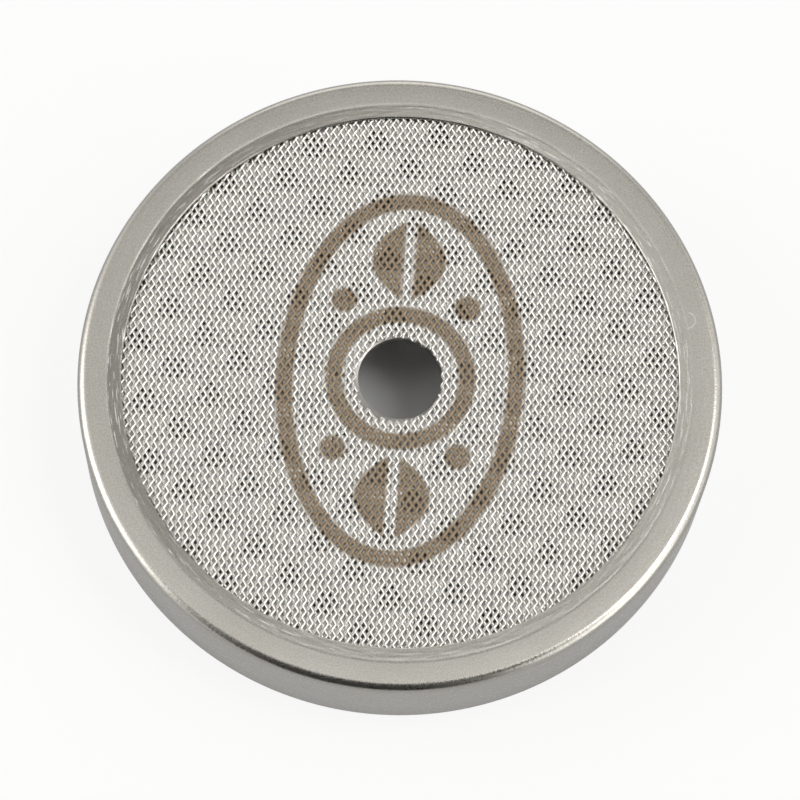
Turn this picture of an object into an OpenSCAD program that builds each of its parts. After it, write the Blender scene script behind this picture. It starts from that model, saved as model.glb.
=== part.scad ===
// Espresso shower screen: a drawn rim ring, a woven wire mesh and a perforated
// spreader cup pressed up under the mesh. It stands on the open edge of the rim
// with the mesh facing up, and its origin is the middle of that resting plane.

/* [Rim ring] */
// Outside diameter of the rim wall
outer_d = 57; // [56:0.5:62]
// Height from the open edge to the top of the flange
height = 9.1; // [8:0.1:12]
// Thickness of the sheet that the rim is drawn from
rim_sheet = 0.4; // [0.35:0.05:0.6]
// Outside radius of the corner between wall and flange
corner_r = 0.85; // [0.75:0.05:1.2]
// Diameter of the opening that shows the mesh
opening_d = 49.2; // [44:0.2:50]
// Width of the band beside the opening that the press sets down
band_w = 1.25; // [0.8:0.05:1.6]
// Depth that this band is set down at the opening
band_drop = 0.1; // [0.05:0.01:0.15]
// Rounding of the lip at the opening
lip_r = 0.15; // [0.08:0.01:0.19]
// Rounding of the open edge of the wall
edge_r = 0.12; // [0.06:0.01:0.17]

/* [Woven mesh] */
// Thickness of the weave from crown to crown
mesh_t = 0.3; // [0.25:0.05:0.5]
// Distance between the ridges that stand for the wires
ridge_pitch = 2.5; // [2.3:0.1:3]
// Width of a ridge along its top
ridge_w = 0.4; // [0.3:0.05:0.6]
// Width of the wall left between open diamonds below the ridges
ridge_foot_w = 0.7; // [0.6:0.05:0.9]
// Height of the ridges over the wall of the mesh
ridge_h = 0.15; // [0.08:0.01:0.2]
// Angle of the two wire directions to the X axis
wire_angle = 56.5; // [45:0.5:60]
// Turn of the whole weave about the middle
weave_turn = 1; // [0:1:15]
// How near the middle of a small hole a diamond is to be open, in hole diameters
gap_reach = 0.6; // [0.4:0.02:0.7]

/* [Spreader cup] */
// Thickness of the perforated sheet
plate_t = 0.7; // [0.5:0.05:0.8]
// Depth of the cup from its top face to its open edge
cup_h = 6.2; // [4:0.1:7]
// Outside radius of the corner between top and wall of the cup
cup_corner_r = 1; // [0.9:0.05:1.3]
// Diameter of the small holes
hole_d = 2.1; // [1.5:0.1:2.4]
// Distance between neighbouring small holes
hole_pitch = 4; // [3.8:0.1:5]
// How far the hole pattern reaches under the flange, past the opening
under_flange = 0.9; // [0:0.1:1]
// Turn of the hole pattern about the middle
pattern_turn = -35.5; // [-45:0.5:45]
// Diameter of the hole for the fixing screw
screw_d = 7.5; // [5:0.1:9]

/* [Fit] */
// Radial gap between the rim wall and the cup wall
nest_gap = 0.05; // [0.02:0.01:0.1]
// Gap between the edge of the mesh and the inside corner of the rim
mesh_edge_gap = 0.15; // [0.05:0.05:0.3]
// Width of solid sheet kept between the screw hole and the small holes
web = 0.5; // [0.3:0.1:1]
// How much wider the hole in the mesh is than the screw hole
mesh_hole_extra = 0.2; // [0.1:0.1:0.6]

/* [Hidden] */
$fn = 96;
eps = 0.01;
outer_r = outer_d / 2;
opening_r = opening_d / 2;
wall_in_r = outer_r - rim_sheet;
inner_corner_r = corner_r - rim_sheet;
band_r = opening_r + band_w;
mesh_top = height - rim_sheet;
mesh_r = wall_in_r - inner_corner_r - mesh_edge_gap;
mesh_hole_r = screw_d / 2 + mesh_hole_extra / 2;
plate_top = mesh_top - mesh_t;
cup_r = wall_in_r - nest_gap;
cup_in_r = cup_r - plate_t;
cup_in_corner_r = cup_corner_r - plate_t;
hole_field_r = opening_r + under_flange;
hole_clear_r = screw_d / 2 + hole_d / 2 + web;
field_n = ceil(hole_field_r / hole_pitch);
// The weave is pressed flat where the flange clamps it.
weave_r = opening_r + under_flange;
// Distance between crossings along a row of diamonds, and between the rows.
cross_x = ridge_pitch / sin(wire_angle);
cross_y = ridge_pitch / cos(wire_angle);
row_n = ceil(2 * weave_r / cross_y);
col_n = ceil(weave_r / cross_x);
reach = cross_y / 2 - ridge_w;

// What a square corner of side r loses when it is rounded to that radius.
module corner_waste(r) {
  difference() {
    square(r + 1);
    circle(r);
    translate([-1, -1]) square([1, r + 2]);
    translate([-1, -1]) square([r + 2, 1]);
  }
}

// One side of the rim's section: wall, flange, set-down band and lip.
module rim_section() {
  difference() {
    union() {
      translate([wall_in_r, 0]) square([rim_sheet, height]);
      translate([opening_r, mesh_top]) square([outer_r - opening_r, rim_sheet]);
      difference() {
        translate([wall_in_r - inner_corner_r, mesh_top - inner_corner_r])
          square(inner_corner_r + eps);
        translate([wall_in_r - inner_corner_r, mesh_top - inner_corner_r])
          circle(inner_corner_r);
      }
    }
    translate([outer_r - corner_r, height - corner_r]) corner_waste(corner_r);
    polygon([
      [band_r, height],
      [opening_r - eps, height - band_drop * (1 + eps / band_w)],
      [opening_r - eps, height + 1],
      [band_r, height + 1]
    ]);
    translate([opening_r + lip_r, height - band_drop - lip_r])
      mirror([1, 0]) corner_waste(lip_r);
    translate([outer_r - edge_r, edge_r]) mirror([0, 1]) corner_waste(edge_r);
    translate([wall_in_r + edge_r, edge_r])
      mirror([0, 1]) mirror([1, 0]) corner_waste(edge_r);
  }
}

module rim_ring() {
  color([0.74, 0.73, 0.70]) rotate_extrude() rim_section();
}

// One side of the spreader cup's section: flat top, drawn corner and short wall.
module cup_section() {
  difference() {
    union() {
      translate([screw_d / 2, plate_top - plate_t])
        square([cup_r - screw_d / 2, plate_t]);
      translate([cup_in_r, plate_top - cup_h]) square([plate_t, cup_h]);
      difference() {
        translate([cup_in_r - cup_in_corner_r, plate_top - cup_corner_r])
          square(cup_in_corner_r + eps);
        translate([cup_in_r - cup_in_corner_r, plate_top - cup_corner_r])
          circle(cup_in_corner_r);
      }
    }
    translate([cup_r - cup_corner_r, plate_top - cup_corner_r])
      corner_waste(cup_corner_r);
  }
}

// Centres of the small holes: a square pattern about the middle, kept inside the
// opening and clear of the screw hole.
function is_hole(step) =
  let (r = hole_pitch * norm(step)) r < hole_field_r && r > hole_clear_r;
function hole_centres() = [
  for (i = [-field_n:field_n], j = [-field_n:field_n])
    if (is_hole([i, j])) [hole_pitch * i, hole_pitch * j]
];

module spreader_cup() {
  color([0.60, 0.59, 0.56]) difference() {
    rotate_extrude() cup_section();
    rotate(pattern_turn)
      for (c = hole_centres())
        translate([c[0], c[1], plate_top - plate_t - 1])
          cylinder(h = plate_t + 2, d = hole_d);
  }
}

// A diamond between four wires, with land of this width left around it.
module diamond(land, h) {
  half_x = (cross_x - land / sin(wire_angle)) / 2;
  half_y = (cross_y - land / cos(wire_angle)) / 2;
  linear_extrude(h) polygon([[half_x, 0], [0, half_y], [-half_x, 0], [0, -half_y]]);
}

// Middles of the diamonds: rows half a step apart, as the crossing wires leave them.
function diamond_centres() = [
  for (row = [-row_n:row_n], col = [-col_n:col_n])
    let (
      x = (col + (row % 2 == 0 ? 0 : 0.5)) * cross_x,
      y = row * cross_y / 2,
      r = norm([x, y])
    )
      if (r + reach < weave_r && r - reach > mesh_hole_r) [x, y]
];

// A point turned about the middle by an angle.
function turned(p, a) = [p[0] * cos(a) - p[1] * sin(a), p[0] * sin(a) + p[1] * cos(a)];

// True for a diamond that lies over the middle of a small hole of the cup below it.
function over_hole(p) =
  let (
    q = turned(p, weave_turn - pattern_turn) / hole_pitch,
    step = [round(q[0]), round(q[1])]
  )
    is_hole(step) && hole_pitch * norm(q - step) < gap_reach * hole_d;

// The hollow between four ridges: its sides slope as the round wires do.
module hollow(is_open) {
  hull() {
    translate([0, 0, mesh_top - ridge_h]) diamond(ridge_foot_w, eps);
    translate([0, 0, mesh_top]) diamond(ridge_w, eps);
  }
  if (is_open) translate([0, 0, plate_top - eps]) diamond(ridge_foot_w, mesh_t);
}

module woven_mesh() {
  color([0.86, 0.85, 0.83]) rotate(weave_turn) difference() {
    translate([0, 0, plate_top]) cylinder(h = mesh_t, r = mesh_r);
    translate([0, 0, plate_top - 1]) cylinder(h = mesh_t + 2, r = mesh_hole_r);
    for (c = diamond_centres()) translate(c) hollow(over_hole(c));
  }
}

rim_ring();
woven_mesh();
spreader_cup();
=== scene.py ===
# %% [markdown]
# # An espresso shower screen
# The object is a round stainless screen of three pressed-together pieces: a drawn rim ring, a
# disc of woven wire, and a perforated cup behind the mesh. The CAD model holds their sizes. This
# lesson gives each piece its fine form and its metal, then lights the whole as on a white table.

# %% Load the frame
import math

import bpy
import numpy as np
from mathutils import Matrix, Vector


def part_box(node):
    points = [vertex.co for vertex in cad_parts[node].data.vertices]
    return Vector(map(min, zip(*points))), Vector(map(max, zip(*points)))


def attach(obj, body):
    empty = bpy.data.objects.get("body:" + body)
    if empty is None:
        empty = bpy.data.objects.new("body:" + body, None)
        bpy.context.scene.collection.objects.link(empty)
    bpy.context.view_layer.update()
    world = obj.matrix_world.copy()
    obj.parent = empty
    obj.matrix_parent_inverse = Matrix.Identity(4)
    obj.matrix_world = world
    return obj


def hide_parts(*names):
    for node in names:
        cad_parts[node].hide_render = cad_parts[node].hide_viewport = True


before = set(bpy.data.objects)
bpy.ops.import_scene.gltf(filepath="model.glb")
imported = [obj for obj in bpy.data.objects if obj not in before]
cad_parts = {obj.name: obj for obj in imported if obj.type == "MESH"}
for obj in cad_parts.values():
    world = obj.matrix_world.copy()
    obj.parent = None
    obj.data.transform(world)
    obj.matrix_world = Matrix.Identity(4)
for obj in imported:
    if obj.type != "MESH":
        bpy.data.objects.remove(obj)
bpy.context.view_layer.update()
scene = bpy.context.scene
scene.view_settings.view_transform = "Standard"
MM = 0.001
rim_low, rim_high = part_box("rim_ring")
mesh_low, mesh_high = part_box("woven_mesh")
cup_low, cup_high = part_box("spreader_cup")
OUTER_R = (rim_high[0] - rim_low[0]) / 2 / MM
HEIGHT = rim_high[2] / MM
MESH_TOP = mesh_high[2] / MM
MESH_BOTTOM = mesh_low[2] / MM
CUP_R = (cup_high[0] - cup_low[0]) / 2 / MM
CUP_EDGE = cup_low[2] / MM
print("outer radius", round(OUTER_R, 3), "height", round(HEIGHT, 3))
print("mesh thickness", round(MESH_TOP - MESH_BOTTOM, 3))

# %% [markdown]
# ## The camera
# The photo looks down on the screen at 72 degrees from about 320 mm away, a little turned. The
# camera comes first, so that every later choice can be judged in the photo's own frame. It looks
# along a line through the middle of the top face, and a small lens shift puts that point in place.

# %% Place the camera
PHOTO_PX = 800
FACE_PX = (400.6, 376.0)
ELEVATION = math.radians(71.7)
ROLL = math.radians(4.3)
DISTANCE = 320.0
PX_PER_MM = 11.34
SENSOR = 36.0

face = Vector((0, 0, HEIGHT * MM))
ahead = Vector((0, math.cos(ELEVATION), -math.sin(ELEVATION)))
level = Vector((1, 0, 0))
above = Vector((0, math.sin(ELEVATION), math.cos(ELEVATION)))
right = level * math.cos(ROLL) + above * math.sin(ROLL)
up = above * math.cos(ROLL) - level * math.sin(ROLL)
camera_data = bpy.data.cameras.new("photo_camera")
camera_data.sensor_width = SENSOR
camera_data.lens = PX_PER_MM * DISTANCE * SENSOR / PHOTO_PX
camera_data.shift_x = (PHOTO_PX / 2 - FACE_PX[0]) / PHOTO_PX
camera_data.shift_y = (FACE_PX[1] - PHOTO_PX / 2) / PHOTO_PX
camera_data.clip_start = 0.01
camera = bpy.data.objects.new("photo_camera", camera_data)
scene.collection.objects.link(camera)
turn = Matrix((right, up, -ahead)).transposed()
camera.matrix_world = Matrix.Translation(face - ahead * DISTANCE * MM) @ turn.to_4x4()
scene.camera = camera
print("lens", round(camera_data.lens, 1), "mm")

# %% [markdown]
# ## Helpers for turned pieces
# The rim and the cup are drawn from sheet in round dies, so their form is a section turned about
# the axis. By hand that is one vertex, extruded from point to point and then spun. The section
# is worked in millimetres, where merging is safe, and scaled down when the piece is finished.

# %% Draw a section and spin it
TURNS = 256
MERGE = 0.0005


def start_clean():
    if bpy.context.object and bpy.context.object.mode != "OBJECT":
        bpy.ops.object.mode_set(mode="OBJECT")
    bpy.ops.object.select_all(action="DESELECT")


def take(obj):
    start_clean()
    obj.select_set(True)
    bpy.context.view_layer.objects.active = obj
    return obj


def arc(cx, cz, r, a0, a1, steps=8):
    angles = [math.radians(a0 + (a1 - a0) * k / steps) for k in range(steps + 1)]
    return [(cx + r * math.cos(a), cz + r * math.sin(a)) for a in angles]


def turned(name, section, closed=True, steps=TURNS):
    """A section in millimetres, as a list of radius and height, spun about the axis."""
    start_clean()
    bpy.ops.mesh.primitive_plane_add(size=1, location=(0, 0, 0))
    obj = bpy.context.object
    obj.name = obj.data.name = name
    bpy.ops.object.mode_set(mode="EDIT")
    bpy.ops.mesh.merge(type="CENTER")
    bpy.ops.transform.translate(value=(section[0][0], 0, section[0][1]))
    for a, b in zip(section, section[1:]):
        step = (b[0] - a[0], 0, b[1] - a[1])
        bpy.ops.mesh.extrude_region_move(TRANSFORM_OT_translate={"value": step})
    if closed:
        bpy.ops.object.mode_set(mode="OBJECT")
        ends = (0, len(section) - 1)
        for v in obj.data.vertices:
            v.select = v.index in ends
        bpy.ops.object.mode_set(mode="EDIT")
        bpy.ops.mesh.edge_face_add()
    bpy.ops.mesh.select_all(action="SELECT")
    bpy.ops.mesh.spin(steps=steps, angle=math.tau, center=(0, 0, 0), axis=(0, 0, 1), use_auto_merge=True)
    bpy.ops.mesh.select_all(action="SELECT")
    bpy.ops.mesh.remove_doubles(threshold=MERGE)
    if closed:
        bpy.ops.mesh.normals_make_consistent(inside=False)
    bpy.ops.object.mode_set(mode="OBJECT")
    return obj


def finish_piece(obj, node, material, smooth=40):
    take(obj)
    obj.scale = (MM, MM, MM)
    bpy.ops.object.transform_apply(location=True, rotation=True, scale=True)
    bpy.ops.object.shade_smooth_by_angle(angle=math.radians(smooth))
    obj.data.materials.clear()
    obj.data.materials.append(material)
    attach(obj, "root")
    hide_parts(node)
    print(obj.name, len(obj.data.polygons), "faces")


# %% [markdown]
# ## Shared effects
# Three things happen to every metal surface here: it was rolled or turned and keeps fine lines,
# it was handled and has short scratches, and it varies a little in tone. Each is a small shader
# group with values of its own. The rim uses all three, the cup only the tone.

# %% Make the shader groups


def new_group(name, inputs, outputs):
    group = bpy.data.node_groups.new(name, "ShaderNodeTree")
    for label, kind, value in inputs:
        socket = group.interface.new_socket(label, in_out="INPUT", socket_type=kind)
        if value is not None:
            socket.default_value = value
    for label, kind in outputs:
        group.interface.new_socket(label, in_out="OUTPUT", socket_type=kind)
    return group, group.nodes.new("NodeGroupInput"), group.nodes.new("NodeGroupOutput")


def math_node(tree, operation, *values, clamp=False):
    node = tree.nodes.new("ShaderNodeMath")
    node.operation = operation
    node.use_clamp = clamp
    for k, value in enumerate(values):
        if isinstance(value, (int, float)):
            node.inputs[k].default_value = value
        else:
            tree.links.new(value, node.inputs[k])
    return node.outputs[0]


def noise(tree, vector, scale, detail=2.0, roughness=0.5):
    node = tree.nodes.new("ShaderNodeTexNoise")
    node.inputs["Detail"].default_value = detail
    node.inputs["Roughness"].default_value = roughness
    if isinstance(scale, (int, float)):
        node.inputs["Scale"].default_value = scale
    else:
        tree.links.new(scale, node.inputs["Scale"])
    tree.links.new(vector, node.inputs["Vector"])
    return node.outputs["Fac"]


def times(tree, a, b):
    return math_node(tree, "MULTIPLY", a, b)


def plus(tree, a, b):
    return math_node(tree, "ADD", a, b)


def minus(tree, a, b):
    return math_node(tree, "SUBTRACT", a, b)


def length(tree, x, y):
    return math_node(tree, "SQRT", plus(tree, times(tree, x, x), times(tree, y, y)))


def in_mm(tree, position):
    """The three parts of a point, in millimetres."""
    parts = tree.nodes.new("ShaderNodeSeparateXYZ")
    tree.links.new(position, parts.inputs[0])
    return [times(tree, part, 1 / MM) for part in parts.outputs]


def spread(tree, value, low, high, to_low=0.0, to_high=1.0):
    """A soft step: the value's way from low to high, as to_low to to_high."""
    node = tree.nodes.new("ShaderNodeMapRange")
    node.interpolation_type = "SMOOTHSTEP"
    tree.links.new(value, node.inputs["Value"])
    node.inputs["From Min"].default_value = low
    node.inputs["From Max"].default_value = high
    node.inputs["To Min"].default_value = to_low
    node.inputs["To Max"].default_value = to_high
    return node.outputs["Result"]


def polar(tree, position):
    """Radius in millimetres, height in millimetres and angle in radians of a point."""
    parts = tree.nodes.new("ShaderNodeSeparateXYZ")
    tree.links.new(position, parts.inputs[0])
    x, y, z = parts.outputs
    radius = times(tree, length(tree, x, y), 1 / MM)
    return radius, times(tree, z, 1 / MM), math_node(tree, "ARCTAN2", y, x)


def combine(tree, *values):
    node = tree.nodes.new("ShaderNodeCombineXYZ")
    for k, value in enumerate(values):
        if isinstance(value, (int, float)):
            node.inputs[k].default_value = value
        else:
            tree.links.new(value, node.inputs[k])
    return node.outputs[0]


def make_turned_lines():
    group, gin, gout = new_group(
        "turned_lines",
        [("Position", "NodeSocketVector", None), ("Fineness", "NodeSocketFloat", 14.0)],
        [("Lines", "NodeSocketFloat")],
    )
    radius, height, angle = polar(group, gin.outputs["Position"])
    along = times(group, math_node(group, "SINE", angle), 0.25)
    across = plus(group, radius, height)
    place = combine(group, times(group, across, gin.outputs["Fineness"]), along, 0.0)
    group.links.new(noise(group, place, 1.0, 1.0, 0.65), gout.inputs["Lines"])
    return group


def make_scratches():
    group, gin, gout = new_group(
        "scratches",
        [
            ("Position", "NodeSocketVector", None),
            ("Length", "NodeSocketFloat", 0.8),
            ("Share", "NodeSocketFloat", 0.62),
        ],
        [("Scratches", "NodeSocketFloat")],
    )
    radius, height, angle = polar(group, gin.outputs["Position"])
    sweep = times(group, times(group, angle, radius), gin.outputs["Length"])
    slow = combine(group, times(group, sweep, 0.35), radius, 4.0)
    drift = times(group, noise(group, slow, 0.4, 1.0), 0.6)
    across = plus(group, plus(group, radius, height), drift)
    fine = noise(group, combine(group, times(group, across, 9.0), sweep, 2.5), 1.0, 1.0, 0.6)
    over = minus(group, fine, gin.outputs["Share"])
    group.links.new(math_node(group, "MULTIPLY", over, 12.0, clamp=True), gout.inputs["Scratches"])
    return group


def make_mottle():
    group, gin, gout = new_group(
        "mottle",
        [("Position", "NodeSocketVector", None), ("Scale", "NodeSocketFloat", 120.0)],
        [("Cloud", "NodeSocketFloat"), ("Speck", "NodeSocketFloat")],
    )
    position, scale = gin.outputs["Position"], gin.outputs["Scale"]
    cloud = noise(group, position, scale, 2.0, 0.6)
    speck = noise(group, position, times(group, scale, 22.0), 1.0, 0.6)
    group.links.new(cloud, gout.inputs["Cloud"])
    group.links.new(speck, gout.inputs["Speck"])
    return group


TURNED_LINES = make_turned_lines()
SCRATCHES = make_scratches()
MOTTLE = make_mottle()


def use_group(tree, group, position, **values):
    node = tree.nodes.new("ShaderNodeGroup")
    node.node_tree = group
    tree.links.new(position, node.inputs["Position"])
    for label, value in values.items():
        node.inputs[label].default_value = value
    return node.outputs


def new_metal(name):
    material = bpy.data.materials.new(name)
    material.use_nodes = True
    tree = material.node_tree
    shader = tree.nodes["Principled BSDF"]
    shader.inputs["Metallic"].default_value = 1.0
    place = tree.nodes.new("ShaderNodeTexCoord").outputs["Object"]
    return material, tree, shader, place


def mix_colour(tree, factor, a, b):
    node = tree.nodes.new("ShaderNodeMix")
    node.data_type = "RGBA"
    for label, value in ((6, a), (7, b)):
        if isinstance(value, tuple):
            node.inputs[label].default_value = (*value, 1.0)
        else:
            tree.links.new(value, node.inputs[label])
    tree.links.new(factor, node.inputs[0])
    return node.outputs[2]


def add_bump(tree, shader, *layers):
    """Each layer is a height over 0 to 1 and the depth in metres that it stands for."""
    normal = None
    for height, depth in layers:
        bump = tree.nodes.new("ShaderNodeBump")
        bump.inputs["Strength"].default_value = 1.0
        bump.inputs["Distance"].default_value = depth
        tree.links.new(height, bump.inputs["Height"])
        if normal is not None:
            tree.links.new(normal, bump.inputs["Normal"])
        normal = bump.outputs["Normal"]
    tree.links.new(normal, shader.inputs["Normal"])


# %% [markdown]
# ## Rim steel
# The ring is satin stainless with a pressed band beside the mesh, which carries most of the scratches.
# The band's darker colour is painted shade, strong on one side and almost gone on the other. The
# scratches and a small scuff are real wear, coloured near white as a painted glint, most of all on
# the two sides where they catch the light.

# %% Make the rim's metal
OPENING_R = 24.6
BAND_W = 1.25
CORNER_R = 0.85
# Painted light on the rim: the band is darkened as painted shade towards one side.
SHADED_SIDE = math.radians(165)
# The two sides where the scratches get their painted glint are turned by this angle.
GLINT_SIDES_TURN = 1.2
SCUFF_X, SCUFF_Y, SCUFF_R = 25.0, 7.2, 0.75
RIM_DARK, RIM_LIGHT = (0.55, 0.53, 0.49), (0.63, 0.615, 0.575)
# The band's painted shade colour.
BAND_PAINTED_SHADE = (0.34, 0.325, 0.30)
# The scratches' colour: near white, a painted glint on real wear.
WORN_AND_GLINT_BRIGHT = (0.97, 0.965, 0.95)
GRAIN_DEPTH = 0.000012
DENT_DEPTH = 0.00005


def scuff_and_glint_mask(tree, place):
    """A small curved scuff, half of a circle, where something round once rested on the flange. It is
    real wear, and the near-white colour it is given is a painted glint.
    """
    x, y, z = in_mm(tree, place)
    x = minus(tree, x, SCUFF_X)
    y = minus(tree, y, SCUFF_Y)
    off = math_node(tree, "ABSOLUTE", minus(tree, length(tree, x, y), SCUFF_R))
    line = spread(tree, off, 0.09, 0.03)
    return times(tree, times(tree, line, spread(tree, x, -0.1, 0.3)), 0.6)


def make_rim_steel():
    material, tree, shader, place = new_metal("rim_satin_steel")
    lines = use_group(tree, TURNED_LINES, place, Fineness=11.0)["Lines"]
    marks = use_group(tree, SCRATCHES, place, Length=0.55, Share=0.6)["Scratches"]
    mottle = use_group(tree, MOTTLE, place, Scale=160.0)
    cloud, speck = mottle["Cloud"], mottle["Speck"]
    radius, height, angle = polar(tree, place)

    band_r = OPENING_R + BAND_W
    band = spread(tree, radius, band_r + 0.1, band_r - 0.1)
    # Painted shade: the band is coloured darker, fully on one side and hardly at all on the opposite
    # side.
    towards = math_node(tree, "COSINE", minus(tree, angle, SHADED_SIDE))
    shaded_band = times(tree, band, spread(tree, towards, -0.3, 0.95, 0.05, 1.0))
    # The scratches are real wear; their near-white colour is a painted glint, strongest on the two sides
    # where the light catches them.
    glint_sides_wave = math_node(tree, "ABSOLUTE", math_node(tree, "SINE", plus(tree, angle, GLINT_SIDES_TURN)))
    sides = spread(tree, glint_sides_wave, 0.15, 0.9, 0.15, 0.9)
    outward = spread(tree, radius, OUTER_R - CORNER_R - 0.3, OUTER_R - 0.4)
    corner = times(tree, outward, spread(tree, height, HEIGHT - 1.4, HEIGHT - 0.9))
    worn_and_glint = times(tree, marks, plus(tree, times(tree, band, sides), 0.06))
    worn_and_glint = math_node(tree, "MAXIMUM", worn_and_glint, scuff_and_glint_mask(tree, place))

    base = mix_colour(tree, cloud, RIM_DARK, RIM_LIGHT)
    # Painted shade darkens the band here, and the next line paints the scratches' glint.
    base_with_shade = mix_colour(tree, shaded_band, base, BAND_PAINTED_SHADE)
    tree.links.new(mix_colour(tree, worn_and_glint, base_with_shade, WORN_AND_GLINT_BRIGHT), shader.inputs["Base Color"])
    rough = plus(tree, times(tree, lines, 0.1), times(tree, speck, 0.1))
    rough = plus(tree, rough, times(tree, worn_and_glint, -0.08))
    tree.links.new(plus(tree, rough, 0.18), shader.inputs["Roughness"])

    worked_at = combine(tree, times(tree, radius, 2.6), times(tree, angle, 9.0), 0.0)
    worked = noise(tree, worked_at, 1.0, 1.0, 0.6)
    grain = times(tree, speck, plus(tree, times(tree, corner, 0.7), 0.3))
    dents = times(tree, worked, plus(tree, times(tree, band, 0.9), 0.1))
    add_bump(tree, shader, (grain, GRAIN_DEPTH), (dents, DENT_DEPTH))
    return material


RIM_STEEL = make_rim_steel()

# %% [markdown]
# ## The rim ring
# The real ring is drawn from 0.4 mm sheet: wall, rounded corner, flange, a band set down by the
# crimping tool, and a lip. A turned section gives all of it, with the roundings as true arcs. The
# crease that the tool's edge left is given by its offsets from the top of the band's outer edge.

# %% Turn the rim ring
RIM_SHEET = 0.4
BAND_DROP = 0.1
LIP_R = 0.15
EDGE_R = 0.12
CREASE = (
    (0.2, 0.0),
    (0.1, -0.004),
    (0.04, -0.022),
    (-0.03, -0.05),
    (-0.09, -0.056),
    (-0.16, -0.048),
    (-0.24, -0.05),
    (-0.5, -0.066),
)


def rim_section():
    wall_r = OUTER_R - RIM_SHEET
    inner_r = CORNER_R - RIM_SHEET
    band_r = OPENING_R + BAND_W
    under = HEIGHT - RIM_SHEET
    lip_z = HEIGHT - BAND_DROP - LIP_R
    points = arc(OUTER_R - EDGE_R, EDGE_R, EDGE_R, -90, 0, 4)
    points += arc(OUTER_R - CORNER_R, HEIGHT - CORNER_R, CORNER_R, 0, 90, 12)
    points += [(band_r + r, HEIGHT + z) for r, z in CREASE]
    points += [(OPENING_R + LIP_R + 0.25, HEIGHT - BAND_DROP + 0.012)]
    points += arc(OPENING_R + LIP_R, lip_z, LIP_R, 90, 180, 6)
    points += [(OPENING_R, under + 0.01), (OPENING_R + 0.01, under)]
    points += arc(wall_r - inner_r, under - inner_r, inner_r, 90, 0, 6)
    points += arc(wall_r + EDGE_R, EDGE_R, EDGE_R, 180, 270, 4)
    return points


rim = turned("rim_ring_turned", rim_section())
finish_piece(rim, "rim_ring", RIM_STEEL, 50)

# %% [markdown]
# ## Cup steel
# The cup is plain rolled sheet. Rolling leaves straight lines in one direction, and the punch
# that made the holes leaves them clean. It is seen through the mesh and from below.

# %% Make the cup's metal
CUP_DARK, CUP_LIGHT = (0.38, 0.37, 0.352), (0.48, 0.47, 0.45)
ROLLED_SCALE = (260.0, 6000.0, 260.0)
ROLLED_TURN = math.radians(20)
ROLLED_DEPTH = 0.000005


def make_cup_steel():
    material, tree, shader, place = new_metal("cup_rolled_steel")
    mottle = use_group(tree, MOTTLE, place, Scale=90.0)
    stretch = tree.nodes.new("ShaderNodeMapping")
    stretch.inputs["Scale"].default_value = ROLLED_SCALE
    stretch.inputs["Rotation"].default_value = (0, 0, ROLLED_TURN)
    tree.links.new(place, stretch.inputs["Vector"])
    rolled = noise(tree, stretch.outputs[0], 1.0, 3.0, 0.6)
    tree.links.new(mix_colour(tree, mottle["Cloud"], CUP_DARK, CUP_LIGHT), shader.inputs["Base Color"])
    rough = plus(tree, times(tree, rolled, 0.16), times(tree, mottle["Speck"], 0.08))
    tree.links.new(plus(tree, rough, 0.24), shader.inputs["Roughness"])
    add_bump(tree, shader, (rolled, ROLLED_DEPTH))
    return material


CUP_STEEL = make_cup_steel()

# %% [markdown]
# ## The spreader cup
# A flat sheet with 124 punched holes is awkward to cut hole by hole. Here every hole is a plain
# circle, all circles are joined and turned into one flat filled curve, and the filled face gives
# the top and the underside. One hole's wall, slightly rounded by the punch, is turned once and
# copied to every place. A turned ring adds the drawn corner and the short wall.

# %% Lay out the holes
PLATE_T = 0.7
CUP_CORNER_R = 1.0
HOLE_R = 1.05
HOLE_PITCH = 4.0
HOLE_FIELD_R = OPENING_R + 0.9
SCREW_R = 3.75
HOLE_WEB = 0.5
PATTERN_TURN = math.radians(-35.5)
HOLE_ROUND = 0.05
HOLE_SIDES = 32
SCREW_SIDES = 96
CUP_EDGE_R = 0.15
CUP_MERGE = 0.002
FLAT_R = CUP_R - CUP_CORNER_R


def hole_places():
    reach = math.ceil(HOLE_FIELD_R / HOLE_PITCH)
    span = range(-reach, reach + 1)
    places = [Vector((i * HOLE_PITCH, j * HOLE_PITCH, 0)) for i in span for j in span]
    near = SCREW_R + HOLE_R + HOLE_WEB
    spin = Matrix.Rotation(PATTERN_TURN, 3, "Z")
    return [spin @ p for p in places if near < p.length < HOLE_FIELD_R]


def join(parts, name):
    start_clean()
    for part in parts:
        part.select_set(True)
    bpy.context.view_layer.objects.active = parts[0]
    bpy.ops.object.join()
    obj = bpy.context.object
    obj.name = obj.data.name = name
    return obj


def circle(radius, sides, place=(0, 0, 0)):
    start_clean()
    bpy.ops.mesh.primitive_circle_add(vertices=sides, radius=radius, location=place, fill_type="NOTHING")
    return bpy.context.object


def copied(obj, place):
    twin = obj.copy()
    twin.data = obj.data.copy()
    scene.collection.objects.link(twin)
    twin.location = place
    return twin


HOLES = hole_places()
print(len(HOLES), "holes")

# %% [markdown]
# The curve is made from the joined circles and filled as a flat shape, which keeps every hole.

# %% Fill the flat sheet
first = circle(HOLE_R + HOLE_ROUND, HOLE_SIDES)
loops = [copied(first, p) for p in HOLES]
bpy.data.objects.remove(first)
loops += [circle(SCREW_R + HOLE_ROUND, SCREW_SIDES), circle(FLAT_R, TURNS)]
sheet = join(loops, "cup_sheet")
bpy.ops.object.transform_apply(location=True, rotation=True, scale=True)
bpy.ops.object.convert(target="CURVE")
sheet = bpy.context.object
sheet.data.dimensions = "2D"
sheet.data.fill_mode = "BOTH"
bpy.ops.object.convert(target="MESH")
sheet = bpy.context.object
print("sheet", len(sheet.data.polygons), "faces", len(sheet.data.vertices), "vertices")

# %% [markdown]
# The walls of the holes and the drawn edge share their points with the sheets, so that merging
# closes the whole cup, which the count of open edges proves.

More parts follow.
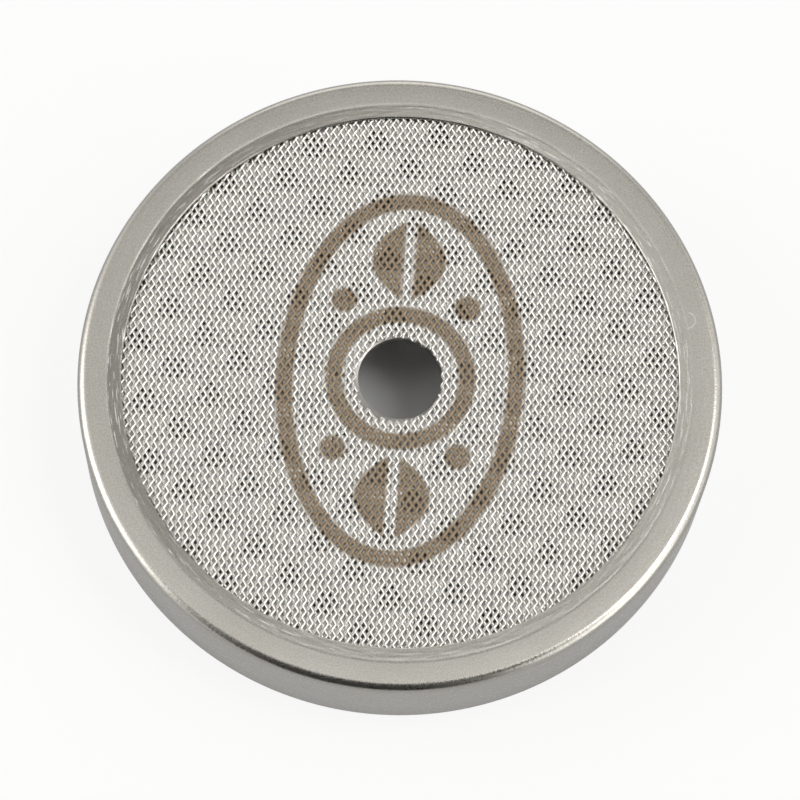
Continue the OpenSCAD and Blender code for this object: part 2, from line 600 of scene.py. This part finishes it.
# %% Add hole walls, corner and wall


def hole_wall(name, radius, sides):
    half_way = HOLE_ROUND * 0.3
    section = [(radius + HOLE_ROUND, 0.0), (radius + half_way, -half_way), (radius, -HOLE_ROUND)]
    section += [(r, -PLATE_T - z) for r, z in reversed(section)]
    return turned(name, section, closed=False, steps=sides)


def cup_ring_section():
    top = MESH_BOTTOM
    wall_r = CUP_R - PLATE_T
    inner_r = CUP_CORNER_R - PLATE_T
    points = arc(FLAT_R, top - CUP_CORNER_R, CUP_CORNER_R, 90, 0, 10)
    points += arc(CUP_R - CUP_EDGE_R, CUP_EDGE + CUP_EDGE_R, CUP_EDGE_R, 0, -90, 4)
    points += arc(wall_r + CUP_EDGE_R, CUP_EDGE + CUP_EDGE_R, CUP_EDGE_R, -90, -180, 4)
    points += arc(wall_r - inner_r, top - CUP_CORNER_R, inner_r, 0, 90, 6)
    if points[-1][0] > FLAT_R + 0.001:
        points.append((FLAT_R, top - PLATE_T))
    return points


underside = copied(sheet, (0, 0, MESH_BOTTOM - PLATE_T))
sheet.location = (0, 0, MESH_BOTTOM)
wall = hole_wall("hole_wall", HOLE_R, HOLE_SIDES)
walls = [copied(wall, p + Vector((0, 0, MESH_BOTTOM))) for p in HOLES]
bpy.data.objects.remove(wall)
screw_wall = hole_wall("screw_wall", SCREW_R, SCREW_SIDES)
screw_wall.location = (0, 0, MESH_BOTTOM)
cup_ring = turned("cup_ring", cup_ring_section(), closed=False)
cup = join([sheet, underside, screw_wall, cup_ring] + walls, "spreader_cup_punched")
bpy.ops.object.transform_apply(location=True, rotation=True, scale=True)
bpy.ops.object.mode_set(mode="EDIT")
bpy.ops.mesh.select_all(action="SELECT")
bpy.ops.mesh.remove_doubles(threshold=CUP_MERGE)
bpy.ops.mesh.normals_make_consistent(inside=False)
bpy.ops.mesh.select_all(action="DESELECT")
bpy.ops.mesh.select_non_manifold()
bpy.ops.object.mode_set(mode="OBJECT")
print("open edges in the cup:", sum(e.select for e in cup.data.edges))
finish_piece(cup, "spreader_cup", CUP_STEEL, 30)

# %% [markdown]
# ## Wire steel and the laser mark
# The mesh is bright drawn wire. An oval ornament is burnt into it about the screw hole: laser
# heat leaves the wires tan and dull. The ornament is plain geometry, worked out from distances to
# its outlines: an oval frame, a ring, two leaves and four dots.

# %% Make the wire's metal
MARK_HALF_W = 10.2
MARK_HALF_H = 16.6
MARK_STROKE = 0.75
RING_R = 5.9
LEAF_MID = 11.0
LEAF_HALF_H = 4.0
LEAF_HALF_W = 3.3
LEAF_SLIT = 0.5
DOT_X, DOT_Y, DOT_R = 5.5, 6.9, 1.15
WIRE_DARK, WIRE_LIGHT = (0.57, 0.555, 0.53), (0.73, 0.72, 0.695)
BURNT_DARK, BURNT_LIGHT = (0.20, 0.148, 0.092), (0.34, 0.265, 0.18)


def inside(tree, distance, soft=0.2):
    """One where a distance to an outline is negative, with an edge as ragged as the weave."""
    return spread(tree, distance, soft, -soft)


def off_oval(tree, x, y):
    """How far a point lies from the oval's line, from the oval's equation and its slope there."""
    across = times(tree, x, 1 / MARK_HALF_W)
    along = times(tree, y, 1 / MARK_HALF_H)
    value = plus(tree, times(tree, across, across), times(tree, along, along))
    slope = length(tree, times(tree, across, 2 / MARK_HALF_W), times(tree, along, 2 / MARK_HALF_H))
    return math_node(tree, "ABSOLUTE", math_node(tree, "DIVIDE", minus(tree, value, 1.0), slope))


def laser_mark(tree, place):
    """One on the ornament and nought elsewhere. It's the same in all four quarters."""
    x, y, z = in_mm(tree, place)
    x = math_node(tree, "ABSOLUTE", x)
    y = math_node(tree, "ABSOLUTE", y)
    oval_line = inside(tree, minus(tree, off_oval(tree, x, y), MARK_STROKE))
    off_ring = math_node(tree, "ABSOLUTE", minus(tree, length(tree, x, y), RING_R))
    ring_line = inside(tree, minus(tree, off_ring, MARK_STROKE))
    up = times(tree, minus(tree, y, LEAF_MID), 1 / LEAF_HALF_H)
    width = times(tree, minus(tree, 1.0, times(tree, up, up)), LEAF_HALF_W)
    leaf = inside(tree, minus(tree, x, width))
    leaf = times(tree, leaf, inside(tree, minus(tree, LEAF_SLIT, x)))
    off_dot = length(tree, minus(tree, x, DOT_X), minus(tree, y, DOT_Y))
    dots = inside(tree, minus(tree, off_dot, DOT_R))
    lines = math_node(tree, "MAXIMUM", oval_line, ring_line)
    return math_node(tree, "MAXIMUM", lines, math_node(tree, "MAXIMUM", leaf, dots))


def make_wire_steel():
    material, tree, shader, place = new_metal("mesh_drawn_wire")
    speck = noise(tree, place, 2400.0, 1.0, 0.5)
    mark = laser_mark(tree, place)
    base = mix_colour(tree, speck, WIRE_DARK, WIRE_LIGHT)
    burnt = mix_colour(tree, speck, BURNT_DARK, BURNT_LIGHT)
    tree.links.new(mix_colour(tree, times(tree, mark, 0.92), base, burnt), shader.inputs["Base Color"])
    rough = plus(tree, times(tree, speck, 0.12), 0.18)
    tree.links.new(plus(tree, rough, times(tree, mark, 0.22)), shader.inputs["Roughness"])
    return material


WIRE_STEEL = make_wire_steel()

# %% [markdown]
# ## The woven mesh
# Plain weave: every wire goes over one crossing wire and under the next, and its neighbour does
# the opposite. One wire is a six-sided circle, extruded in half steps between crossings. An array
# copies it sideways, two of them in step and counter-step make one direction of the weave, and a
# second direction leans the other way. What lies outside the disc or inside the hole is cut off.

# %% Weave one direction of wires
WIRE_ANGLE = math.radians(56.5)
WEAVE_TURN = math.radians(1.0)
WIRE_PITCH = 0.555
WIRE_W = 0.28
WIRE_H = 0.19
WIRE_SIDES = 6
WEAVE_R = 26.0
MESH_HOLE_R = SCREW_R + 0.03
MESH_HOLE_MID = (-0.14, -0.11)
CROSS_STEP = WIRE_PITCH / math.sin(2 * WIRE_ANGLE)
WEAVE_MID = (MESH_TOP + MESH_BOTTOM) / 2
WAVE = (MESH_TOP - MESH_BOTTOM - WIRE_H) / 2
ROWS = 2 * math.ceil((WEAVE_R / WIRE_PITCH + 1) / 2)


def long_wire(name, phase):
    """A wavy wire along X, long enough for the widest chord and its sideways lean."""
    start_clean()
    reach = math.ceil(WEAVE_R * 1.5 / CROSS_STEP)
    bpy.ops.mesh.primitive_circle_add(vertices=WIRE_SIDES, radius=0.5, rotation=(0, math.pi / 2, 0))
    wire = bpy.context.object
    wire.name = name
    wire.scale = (WIRE_H, WIRE_W, 1)
    bpy.ops.object.transform_apply(location=False, rotation=True, scale=True)
    bpy.ops.object.mode_set(mode="EDIT")
    bpy.ops.mesh.select_all(action="SELECT")
    heights = [WAVE * phase * math.cos(math.pi * k / 2) for k in range(-2 * reach, 2 * reach + 1)]
    bpy.ops.transform.translate(value=(-reach * CROSS_STEP, 0, heights[0]))
    for a, b in zip(heights, heights[1:]):
        bpy.ops.mesh.extrude_region_move(TRANSFORM_OT_translate={"value": (CROSS_STEP / 2, 0, b - a)})
    bpy.ops.object.mode_set(mode="OBJECT")
    return wire


def weave(name, lean, phase):
    """All wires of one direction: two arrayed sets half a step apart, trimmed to the disc."""
    sideways = Vector((math.cos(-lean), math.sin(-lean), 0)) * CROSS_STEP
    sets = []
    for half, step in ((0, phase), (1, -phase)):
        wire = long_wire(name + "_set", step)
        wire.rotation_euler = (0, 0, lean)
        bpy.ops.object.transform_apply(location=False, rotation=True, scale=False)
        array = wire.modifiers.new("side_by_side", "ARRAY")
        array.use_relative_offset = False
        array.use_constant_offset = True
        array.constant_offset_displace = sideways * 2
        array.count = ROWS + 1
        bpy.ops.object.modifier_apply(modifier=array.name)
        wire.location = sideways * (half - ROWS)
        bpy.ops.object.transform_apply(location=True, rotation=False, scale=False)
        sets.append(wire)
    cloth = join(sets, name)
    trim(cloth)
    cloth.location = (0, 0, WEAVE_MID)
    cloth.rotation_euler = (0, 0, WEAVE_TURN)
    bpy.ops.object.transform_apply(location=True, rotation=True, scale=True)
    return cloth


def trim(cloth):
    """Deletes whole rings of vertices by the place of the ring's middle, then caps the ends."""
    mesh = cloth.data
    points = np.empty(len(mesh.vertices) * 3)
    mesh.vertices.foreach_get("co", points)
    rings = points.reshape(-1, WIRE_SIDES, 3).mean(axis=1)
    far = np.hypot(rings[:, 0], rings[:, 1])
    from_hole = np.hypot(rings[:, 0] - MESH_HOLE_MID[0], rings[:, 1] - MESH_HOLE_MID[1])
    gone = (far > WEAVE_R) | (from_hole < MESH_HOLE_R)
    take(cloth)
    mesh.vertices.foreach_set("select", np.repeat(gone, WIRE_SIDES))
    bpy.ops.object.mode_set(mode="EDIT")
    bpy.ops.mesh.delete(type="VERT")
    bpy.ops.mesh.select_all(action="SELECT")
    bpy.ops.mesh.select_non_manifold(extend=False)
    bpy.ops.mesh.fill_holes(sides=WIRE_SIDES)
    bpy.ops.mesh.select_all(action="SELECT")
    bpy.ops.mesh.normals_make_consistent(inside=False)
    bpy.ops.object.mode_set(mode="OBJECT")


warp = weave("mesh_wires_one_way", WIRE_ANGLE, 1)
finish_piece(warp, "woven_mesh", WIRE_STEEL, 80)
weft = weave("mesh_wires_other_way", -WIRE_ANGLE, -1)
finish_piece(weft, "woven_mesh", WIRE_STEEL, 80)

# %% [markdown]
# ## Table and light
# The photo is a studio shot on white: large soft light from both sides, a dark camera side and a
# bright ceiling. Metal shows nothing but what is round it, so the table is white to the eye and to
# reflections, and keeps a part of the shadow. Under the screen it stays as dark as it really is.

# %% Lay the table
TABLE_COLOUR = (0.88, 0.88, 0.878, 1)
TABLE_GLOW = 0.85
start_clean()
bpy.ops.mesh.primitive_plane_add(size=3.0, location=(0, 0, 0))
table = bpy.context.object
table.name = "table"
white = bpy.data.materials.new("white_table")
white.use_nodes = True
tree = white.node_tree
shader = tree.nodes.new("ShaderNodeBsdfDiffuse")
shader.inputs["Color"].default_value = TABLE_COLOUR
rays = tree.nodes.new("ShaderNodeLightPath")
mirrored = rays.outputs["Is Glossy Ray"]
direct = math_node(tree, "MAXIMUM", rays.outputs["Is Camera Ray"], rays.outputs["Is Transmission Ray"])
seen = times(tree, math_node(tree, "MAXIMUM", direct, mirrored), TABLE_GLOW)
radius, height, angle = polar(tree, tree.nodes.new("ShaderNodeTexCoord").outputs["Object"])
uncovered = spread(tree, radius, OUTER_R - 1.0, OUTER_R)
glow = tree.nodes.new("ShaderNodeEmission")
glow.inputs["Color"].default_value = (1, 1, 1, 1)
tree.links.new(minus(tree, 1.0, times(tree, mirrored, 0.5)), glow.inputs["Strength"])
blend = tree.nodes.new("ShaderNodeMixShader")
tree.links.new(times(tree, seen, uncovered), blend.inputs[0])
tree.links.new(shader.outputs[0], blend.inputs[1])
tree.links.new(glow.outputs[0], blend.inputs[2])
tree.links.new(blend.outputs[0], tree.nodes["Material Output"].inputs["Surface"])
table.data.materials.append(white)

# %% [markdown]
# The sky is painted by direction: one even ceiling, taken down behind the screen and nearly to
# black on the camera's side. Round patches are the soft lights, and the smallest and brightest
# patch is the lamp.

# %% Paint the sky
CEILING = 0.98
SKY_COLOUR = (1.0, 0.985, 0.955, 1)
CAMERA_SIDE = ((0.0, -0.78, 0.62), 34, 56, 0.985)
DIM_BACK = ((0.0, 0.85, 0.52), 12, 58, 0.6)
PATCHES = (
    ((-0.85, -0.05, 0.5), 14, 32, 1.7),
    ((0.8, -0.5, 0.5), 12, 28, 1.4),
    ((0.51, 0.05, 0.86), 9, 14, 5.0),
    ((0.0, 0.97, 0.2), 16, 34, 0.9),
)


def glow_patch(tree, direction, centre, inner, outer, strength):
    """Light from round one direction: full inside the first angle, none past the second."""
    near = tree.nodes.new("ShaderNodeVectorMath")
    near.operation = "DOT_PRODUCT"
    tree.links.new(direction, near.inputs[0])
    near.inputs[1].default_value = Vector(centre).normalized()
    low, high = math.cos(math.radians(outer)), math.cos(math.radians(inner))
    return spread(tree, near.outputs["Value"], low, high, 0.0, strength)


def paint_world():
    world = bpy.data.worlds.new("studio")
    scene.world = world
    world.use_nodes = True
    world.cycles.sampling_method = "NONE"
    tree = world.node_tree
    back = tree.nodes["Background"]
    direction = tree.nodes.new("ShaderNodeTexCoord").outputs["Generated"]
    camera_side = glow_patch(tree, direction, *CAMERA_SIDE)
    ceiling = minus(tree, CEILING, glow_patch(tree, direction, *DIM_BACK))
    level = times(tree, ceiling, minus(tree, 1.0, camera_side))
    for patch in PATCHES:
        level = plus(tree, level, glow_patch(tree, direction, *patch))
    tree.links.new(level, back.inputs["Strength"])
    back.inputs["Color"].default_value = SKY_COLOUR


paint_world()

# %% Finish
bpy.context.view_layer.update()
